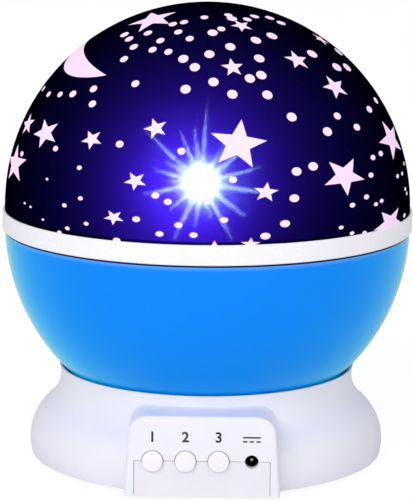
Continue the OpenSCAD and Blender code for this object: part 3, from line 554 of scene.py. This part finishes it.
for finish_material, names in NODE_FINISHES:
    for node_name in names:
        for material_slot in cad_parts[node_name].material_slots:
            material_slot.material = finish_material


# ---------- pieces ----------

def add_piece(name, points, faces, material, body):
    mesh = bpy.data.meshes.new(name)
    mesh.from_pydata([tuple(p) for p in points], [], faces)
    mesh.validate()
    mesh.materials.append(material)
    piece = bpy.data.objects.new(name, mesh)
    bpy.context.scene.collection.objects.link(piece)
    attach(piece, body)
    return piece


# ---------- the dome's pattern ----------

PRINT_LIFT = 0.045 * MM
PRINT_STEP = 1.5 * MM
print_r = dome_r + PRINT_LIFT

# All of the pattern is in degrees and millimetres.
# Five-pointed stars: turn from the front, rise above the dome's middle, length of an arm, tilt
STARS = [
    (-49.5, 69.5, 6.4, 20), (-73, 25.5, 3.9, -21), (-57, 25, 5.2, 39), (-35.5, 25.5, 3.4, 35),
    (-15, 30, 3.5, 49), (-19, 15.5, 3.4, 40), (-24.5, 5.5, 3.1, 39), (-72.5, 14, 7.3, -12),
    (10, 26, 8.3, 10), (17, 13, 3.7, 10), (42.5, 15.5, 7.1, 36), (11, 49.5, 3.3, 69),
    (25, 67.5, 3.1, 59), (42.5, 51, 3.6, 8), (53, 40.5, 4.1, 65), (81, 56.5, 2.7, 2),
    (73.5, 22, 7.2, -10), (61.5, 0.5, 6.7, 40), (3, -1.5, 3.6, 0), (12.5, -0.5, 2.9, 4),
]
# Crescent: turn, rise, half of its chord, depth of its outer and inner arcs, tilt of the chord
CRESCENT = (-69.7, 55.2, 22, 12.3, 4.6, -18)
# Dots: radius, then turn and rise of each
DOTS = [
    (1.45, [(3.5, 64), (40, 61.5), (27.5, 60), (12, 57.5), (55, 52.5), (1.5, 54.5), (-10, 52.5), (24, 52.5),
            (64, 46.5), (73, 45.5), (-4.5, 49.5), (22, 46.5), (17, 45.5), (3, 44.5), (-7, 42), (22, 40),
            (9.5, 40.5), (28.5, 33), (40, 28), (32, 19), (26.5, 18), (25, 11), (22, 4.5), (16.5, 1.5),
            (22, 72), (84, 50.5), (100, 61)]),
    (1.15, [(-26.5, 43), (-38, 51), (-18, 55), (-26.5, 55.5), (-38, 56), (-25.5, 59.5), (-46, 59), (-9.5, 61),
            (-53.5, 60.5), (-37.5, 62.5), (-18, 64), (9.5, 66), (-26, 68), (64, 67), (-18.5, 69.5),
            (35.5, 71), (62.5, 70.5), (-3, 73), (48, 72.5), (21.5, 74.5), (-25.5, 25), (-40.5, 35.5),
            (-43.5, 40), (-52.5, 37.5), (46.5, 32), (53.5, 28), (66, 32), (77, 33.5), (-13, 12),
            (-9.5, 10.5), (-18, 5.5), (-6.5, 4.5), (-11.5, 2), (-2.5, 2), (-6.5, 24), (8, 16.5),
            (5.5, 6), (1, 11), (-23.5, -0.5)]),
    (0.95, [(-60, 36.5), (-69, 35.5), (-80, 36), (-49, 21.5), (-68, 17.5), (61.5, 19.5), (56.5, 19),
            (53.5, 14.5), (50, 9), (44, 7.5), (73, 0.5)]),
    (0.8, [(-37.5, 17.5), (-35.5, 9.5), (-41, 7), (-33, 3), (-39.5, 1), (57, 7), (54, 6.5), (39.5, 2),
           (80, 14), (74.5, 12), (69.5, 12), (75.5, 7.5), (77, 6), (88.5, 11.5), (43.5, 0), (48.5, -0.5),
           (-42.5, -0.5)]),
    (0.5, [(-49.5, 13), (-49.5, 2), (-59.5, 5), (-56, 4.5)]),
]
PRINT_WIDEST = 1.5          # the most that a shape is widened, at the dome's sides
PRINT_FOOT_HEIGHT = 0.64    # how much of its height a shape keeps at the dome's foot
PRINT_HEIGHT_GAIN = 0.58    # how much it has gained on that at the dome's top


def print_stretch(turn, rise):
    """How much the film is drawn out there, across the dome and up it."""
    facing = max(math.cos(math.radians(turn)), 1 / PRINT_WIDEST ** 2)
    return facing ** -0.5, PRINT_FOOT_HEIGHT + PRINT_HEIGHT_GAIN * math.sin(math.radians(rise))


def sphere_frame(turn, rise):
    """Outward, rightward and upward directions at a place on the dome, seen from outside."""
    turn = math.radians(turn)
    rise = math.radians(rise)
    outward = Vector((math.sin(turn) * math.cos(rise), -math.cos(turn) * math.cos(rise), math.sin(rise)))
    rightward = Vector((math.cos(turn), math.sin(turn), 0))
    return outward, rightward, outward.cross(rightward)


def on_dome(place, right, up):
    """The point on the dome, or its straight foot, that lies so far right of a place and above it."""
    outward, rightward, upward = place
    reach = math.hypot(right, up)
    direction = outward
    if reach > 0:
        heading = (rightward * right + upward * up) / reach
        direction = math.cos(reach / dome_r) * outward + math.sin(reach / dome_r) * heading
    if direction.z < 0:
        around = Vector((direction.x, direction.y, 0)).normalized()
        direction = around + Vector((0, 0, math.asin(direction.z)))
    return dome_centre + print_r * direction


class Print:
    """The mesh of the printed pattern, grown one shape at a time."""

    def __init__(self):
        self.points = []
        self.faces = []

    def rings(self, place, outline):
        """A shape whose outline, in metres round its middle, is seen whole from that middle."""
        reach = max(math.hypot(*corner) for corner in outline)
        ring_count = max(1, math.ceil(reach / PRINT_STEP))
        start = len(self.points)
        self.points.append(on_dome(place, 0, 0))
        for ring in range(1, ring_count + 1):
            share = ring / ring_count
            self.points += [on_dome(place, right * share, up * share) for right, up in outline]
        count = len(outline)
        for k in range(count):
            self.faces.append((start, start + 1 + k, start + 1 + (k + 1) % count))
        for ring in range(ring_count - 1):
            low = start + 1 + ring * count
            for k in range(count):
                following = (k + 1) % count
                self.faces.append((low + k, low + count + k, low + count + following, low + following))

    def strip(self, place, first_side, second_side, across):
        """A shape between two sides that have the same number of points."""
        start = len(self.points)
        for first, second in zip(first_side, second_side):
            for step in range(across + 1):
                share = step / across
                right, up = (between(ends, share) for ends in zip(first, second))
                self.points.append(on_dome(place, right, up))
        row_length = across + 1
        for row in range(len(first_side) - 1):
            for step in range(across):
                corner = start + row * row_length + step
                self.faces.append((corner, corner + 1, corner + row_length + 1, corner + row_length))


STAR_WAIST = 0.42
STAR_EDGE_STEPS = 4


def star_outline(arm, tilt):
    """A five-pointed star's outline, with the first arm that far clockwise from upright."""
    corners = []
    for k in range(10):
        reach = arm * (1 if k % 2 == 0 else STAR_WAIST)
        heading = math.radians(tilt + 36 * k)
        corners.append(Vector((reach * math.sin(heading), reach * math.cos(heading))))
    outline = []
    for k, corner in enumerate(corners):
        following = corners[(k + 1) % 10]
        outline += [corner.lerp(following, step / STAR_EDGE_STEPS) for step in range(STAR_EDGE_STEPS)]
    return [tuple(corner) for corner in outline]


def dot_outline(radius, count=20):
    return [(radius * math.cos(2 * math.pi * k / count), radius * math.sin(2 * math.pi * k / count))
            for k in range(count)]


def stretched(outline, turn, rise):
    across, upwards = print_stretch(turn, rise)
    return [(right * across, up * upwards) for right, up in outline]


def crescent_sides(half, outer, inner, tilt, steps=32):
    """The two arcs of a crescent, from horn to horn, sagging below its chord."""
    turned = math.radians(tilt)

    def arc(depth):
        radius = (half * half + depth * depth) / (2 * depth)
        sweep = math.asin(half / radius) if depth < half else math.pi - math.asin(half / radius)
        sides = []
        for k in range(steps + 1):
            heading = sweep * (2 * k / steps - 1)
            right = radius * math.sin(heading)
            up = radius - depth - radius * math.cos(heading)
            sides.append((
                right * math.cos(turned) - up * math.sin(turned),
                right * math.sin(turned) + up * math.cos(turned)))
        return sides

    return arc(outer), arc(inner)


PRINT_TURNS = [(0, 0), (180, 210)]      # the turns of the stars and dots, and of the crescent
BACK_FROM = 4 * MM                      # a second shape lies at least so far behind the dome's middle
PRINT_GAP = 0.4 * MM                    # and at least so far from the others
STAR_ROOM = 0.85
DOT_ROOM = 1.2
CRESCENT_ROOM = 0.5
CRESCENT_SPOTS = (-0.7, 0, 0.7)
CRESCENT_ACROSS = 6
PRINT_BELOW_COLLAR = 0.2 * MM


def print_sky():
    """The pattern round the whole dome: the front's shapes, and again at the back where there's room."""
    sky = Print()
    taken = []

    def clear_of_others(point, reach):
        return all((point - other).length >= reach + far + PRINT_GAP for other, far in taken)

    def room(place, reach, half_turn):
        point = dome_centre + dome_r * place[0]
        if half_turn and (point.y < BACK_FROM or not clear_of_others(point, reach)):
            return False
        taken.append((point, reach))
        return True

    for half_turn, crescent_turn in PRINT_TURNS:
        turn, rise, half, outer, inner, tilt = CRESCENT
        place = sphere_frame(turn + crescent_turn, rise)
        for side in CRESCENT_SPOTS:
            spot = on_dome(place, side * half * MM, -outer / 2 * MM)
            taken.append((spot, half * CRESCENT_ROOM * MM))
        sky.strip(place, *crescent_sides(half * MM, outer * MM, inner * MM, tilt), CRESCENT_ACROSS)
        for turn, rise, arm, tilt in STARS:
            place = sphere_frame(turn + half_turn, rise)
            if room(place, arm * STAR_ROOM * MM, half_turn):
                sky.rings(place, stretched(star_outline(arm * MM, tilt), turn, rise))
        for radius, places in DOTS:
            for turn, rise in places:
                place = sphere_frame(turn + half_turn, rise)
                if room(place, radius * DOT_ROOM * MM, half_turn):
                    sky.rings(place, stretched(dot_outline(radius * MM), turn, rise))
    piece = add_piece("sky_print", sky.points, sky.faces, sky_ink_painted_glow("sky_ink_painted_glow"), "dome")
    trimmed = bmesh.new()
    trimmed.from_mesh(piece.data)
    bmesh.ops.bisect_plane(
        trimmed, geom=trimmed.verts[:] + trimmed.edges[:] + trimmed.faces[:], dist=1e-7,
        plane_co=(0, 0, collar_top - PRINT_BELOW_COLLAR), plane_no=(0, 0, -1), clear_outer=True)
    trimmed.to_mesh(piece.data)
    trimmed.free()


print_sky()


# ---------- marks on the control panel ----------

MARK_DEPTH = 0.02 * MM
MARK_RISE = 6.9 * MM
NUMBER_HEIGHT = 3.0 * MM
NUMBER_BOLDER = 0.1 * MM
FONT_NUMBER_HEIGHT = 0.72   # a number's height as a share of the font's size
CURRENT_WIDE = 5.0 * MM
CURRENT_THICK = 0.45 * MM
CURRENT_GAP = 0.75 * MM
CURRENT_DROP = 0.4 * MM
DASH_SHARE = 0.24
DASHES = 3


def number_mark(name, text, button, material):
    """A plain number above a button, as a thin raised print."""
    at = middle(button)
    curve = bpy.data.curves.new(name, "FONT")
    curve.body = text
    curve.align_x = "CENTER"
    curve.align_y = "CENTER"
    curve.size = NUMBER_HEIGHT / FONT_NUMBER_HEIGHT
    curve.offset = NUMBER_BOLDER
    curve.extrude = MARK_DEPTH / 2
    drawn = bpy.data.objects.new(name, curve)
    bpy.context.scene.collection.objects.link(drawn)
    bpy.context.view_layer.update()
    flat = bpy.data.meshes.new_from_object(drawn.evaluated_get(bpy.context.evaluated_depsgraph_get()))
    bpy.data.objects.remove(drawn)
    points = [
        (at.x + vertex.co.x, panel_y - MARK_DEPTH / 2 + vertex.co.z, at.z + MARK_RISE + vertex.co.y)
        for vertex in flat.vertices]
    faces = [tuple(reversed(face.vertices)) for face in flat.polygons]
    add_piece(name, points, faces, material, "base")


def current_mark(name, material):
    """The usual sign for direct current above the inlet: a bar over three dashes."""
    at = middle("dc_jack_pin")
    dash = CURRENT_WIDE * DASH_SHARE
    bars = [(-CURRENT_WIDE / 2, CURRENT_WIDE, CURRENT_GAP / 2)]
    for k in range(DASHES):
        left = -CURRENT_WIDE / 2 + k * (CURRENT_WIDE - dash) / (DASHES - 1)
        bars.append((left, dash, -CURRENT_GAP / 2 - CURRENT_THICK))
    points = []
    faces = []
    for left, width, low in bars:
        start = len(points)
        right, high = left + width, low + CURRENT_THICK
        for y in (panel_y - MARK_DEPTH, panel_y + MARK_DEPTH):
            for x, z in ((left, low), (right, low), (right, high), (left, high)):
                points.append((at.x + x, y, at.z + MARK_RISE - CURRENT_DROP + z))
        faces.append((start, start + 1, start + 2, start + 3))
        faces.append((start + 7, start + 6, start + 5, start + 4))
        faces += [(start + k, start + 4 + k, start + 4 + (k + 1) % 4, start + (k + 1) % 4) for k in range(4)]
    add_piece(name, points, faces, material, "base")


mark_ink = panel_ink("panel_ink")
number_mark("mark_one", "1", "light_button", mark_ink)
number_mark("mark_two", "2", "colour_button", mark_ink)
number_mark("mark_three", "3", "turn_button", mark_ink)
current_mark("inlet_mark", mark_ink)


# ---------- floor, background and light ----------

FLOOR_HALF = 4.0
FLOOR_PALE = (0.86, 0.86, 0.87, 1)
FLOOR_DULL = (0.84, 0.84, 0.86, 1)
FLOOR_WHITE = 1.07          # how bright the camera sees its white share
FLOOR_WHITENED = 0.85       # that share, and the rest is its own matt grey
AMBIENT = 0.75
CHIP_R = 0.6 * MM
CHIP_DEEP = 1.4 * MM
CHIP_WATTS = 0.45
LAMPS_AIM = Vector((0, 0, 0.07))


def floor_finish(name):
    """A plain pale floor that the camera sees as white, with the object's soft shadow kept."""
    finish = Finish(name)
    seen = finish.node("ShaderNodeLightPath", output="Is Camera Ray")
    mottle = finish.noise(0.3, 2)
    matt = finish.node("ShaderNodeBsdfDiffuse", None, {
        "Color": finish.blend(mottle, FLOOR_PALE, FLOOR_DULL)})
    white = finish.node("ShaderNodeEmission", None, {"Color": WHITE, "Strength": FLOOR_WHITE})
    return finish.done(finish.layered(seen * FLOOR_WHITENED, matt, white))


def lay_floor():
    mesh = bpy.data.meshes.new("floor")
    corners = [(-1, -1), (1, -1), (1, 1), (-1, 1)]
    mesh.from_pydata([(x * FLOOR_HALF, y * FLOOR_HALF, 0) for x, y in corners], [], [(0, 1, 2, 3)])
    mesh.materials.append(floor_finish("floor_finish"))
    floor = bpy.data.objects.new("floor", mesh)
    bpy.context.scene.collection.objects.link(floor)


def light_world():
    """Plain light from all round. The camera sees it brighter than the pieces do, also through clear ones."""
    world = Finish("studio", bpy.data.worlds, "ShaderNodeOutputWorld")
    straight = world.node("ShaderNodeLightPath", output="Is Camera Ray")
    through = world.node("ShaderNodeLightPath", output="Is Transmission Ray")
    seen = straight.math("MAXIMUM", straight, through)
    sky = world.node("ShaderNodeBackground", None, {"Strength": AMBIENT + seen * (1 - AMBIENT)})
    bpy.context.scene.world = world.done(sky)


def light_chip():
    """The white lamp's chip: the small, strong light in its tip."""
    light = bpy.data.lights.new("chip", "POINT")
    light.energy = CHIP_WATTS
    light.shadow_soft_size = CHIP_R
    chip = bpy.data.objects.new("chip", light)
    at = middle("led_white")
    chip.location = (at.x, at.y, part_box("led_white")[1].z - CHIP_DEEP)
    bpy.context.scene.collection.objects.link(chip)


def studio_lamp(name, at, width, power):
    """A square lamp that shines at the light's middle."""
    light = bpy.data.lights.new(name, "AREA")
    light.size = width
    light.energy = power
    lamp = bpy.data.objects.new(name, light)
    lamp.location = at
    lamp.rotation_mode = "QUATERNION"
    lamp.rotation_quaternion = (LAMPS_AIM - Vector(at)).to_track_quat("-Z", "Y")
    bpy.context.scene.collection.objects.link(lamp)


lay_floor()
light_world()
light_chip()
studio_lamp("key_lamp", at=(-0.6, -1.4, 1.0), width=1.2, power=14)
studio_lamp("fill_lamp", at=(1.0, -1.2, 0.6), width=1.2, power=4)

bpy.context.scene.view_settings.view_transform = "Standard"
